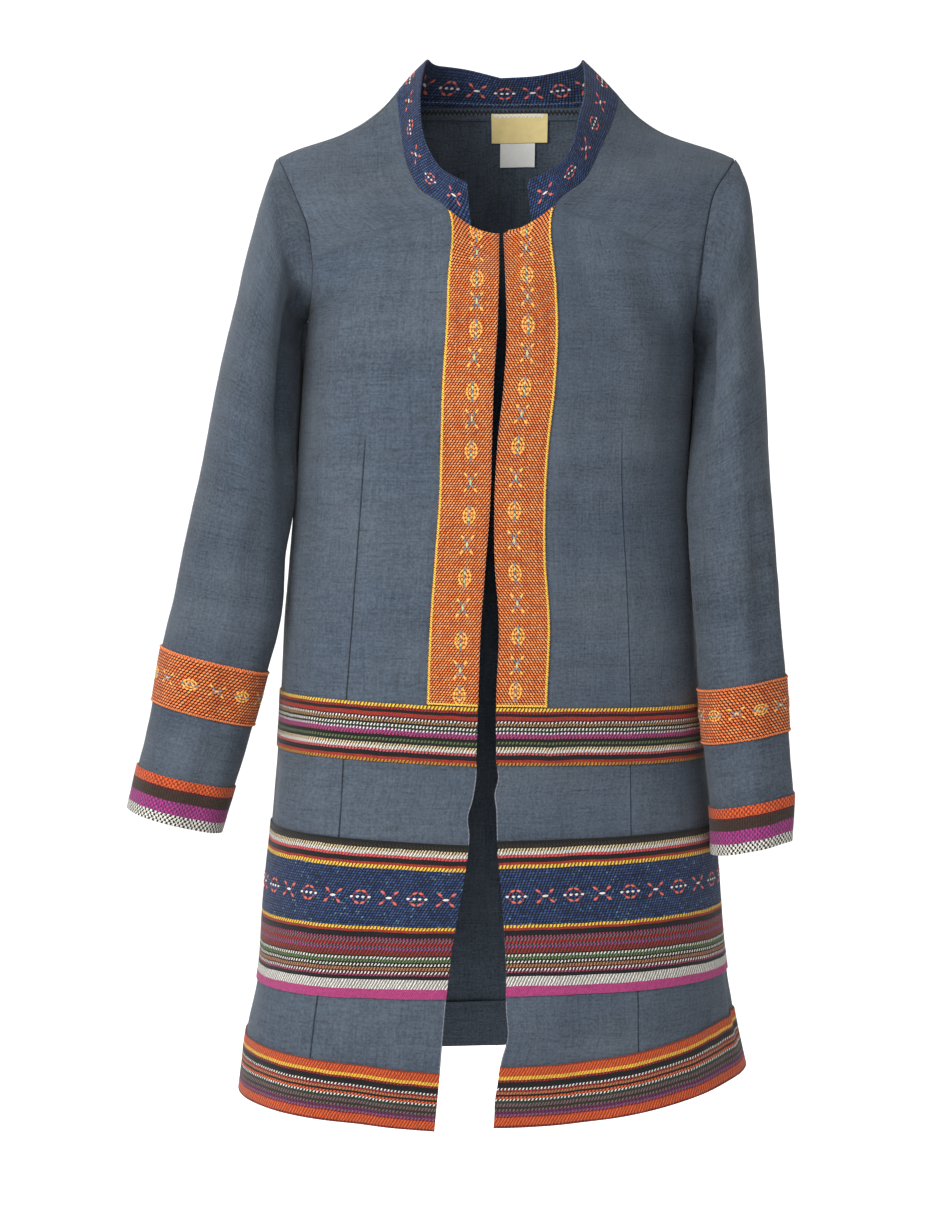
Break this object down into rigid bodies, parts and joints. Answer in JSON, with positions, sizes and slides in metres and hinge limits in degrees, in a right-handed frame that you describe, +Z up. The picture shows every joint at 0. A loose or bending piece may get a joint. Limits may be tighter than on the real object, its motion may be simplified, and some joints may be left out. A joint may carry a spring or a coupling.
{
  "type": "long open-front blazer",
  "caption": "Long hollow open-front jacket with stand collar, long sleeves and woven bands at front edges, hips, skirt, hem, forearms and cuffs.",
  "frame": {"origin": "middle of the neck base, level with the two points where the shoulder seams meet the collar", "axes": "+Z up to the collar, -Y to the open front, +X to the wearer's left"},
  "size_m": [0.5819, 0.2607, 0.9273],
  "materials": {
    "slate": "plain weave, matt",
    "navy": "coarse plain weave with woven motifs",
    "orange": "coarse fleck weave with woven motifs",
    "stripes": "woven stripes",
    "cuffs": "woven stripes",
    "label": "bare woven label",
    "care": "bare printed label"
  },
  "bodies": {
    "root": {"front_r": "slate", "front_l": "slate", "back_r": "slate", "back_l": "slate", "sleeve_r": "slate", "sleeve_l": "slate", "collar": "navy", "front_band_r": "orange", "front_band_l": "orange", "hip_band": "stripes", "skirt_band": "navy", "hem_band": "stripes", "sleeve_band_r": "orange", "sleeve_band_l": "orange", "cuff_band_r": "cuffs", "cuff_band_l": "cuffs", "label": "label", "care_label": "care"}
  },
  "joints": []
}
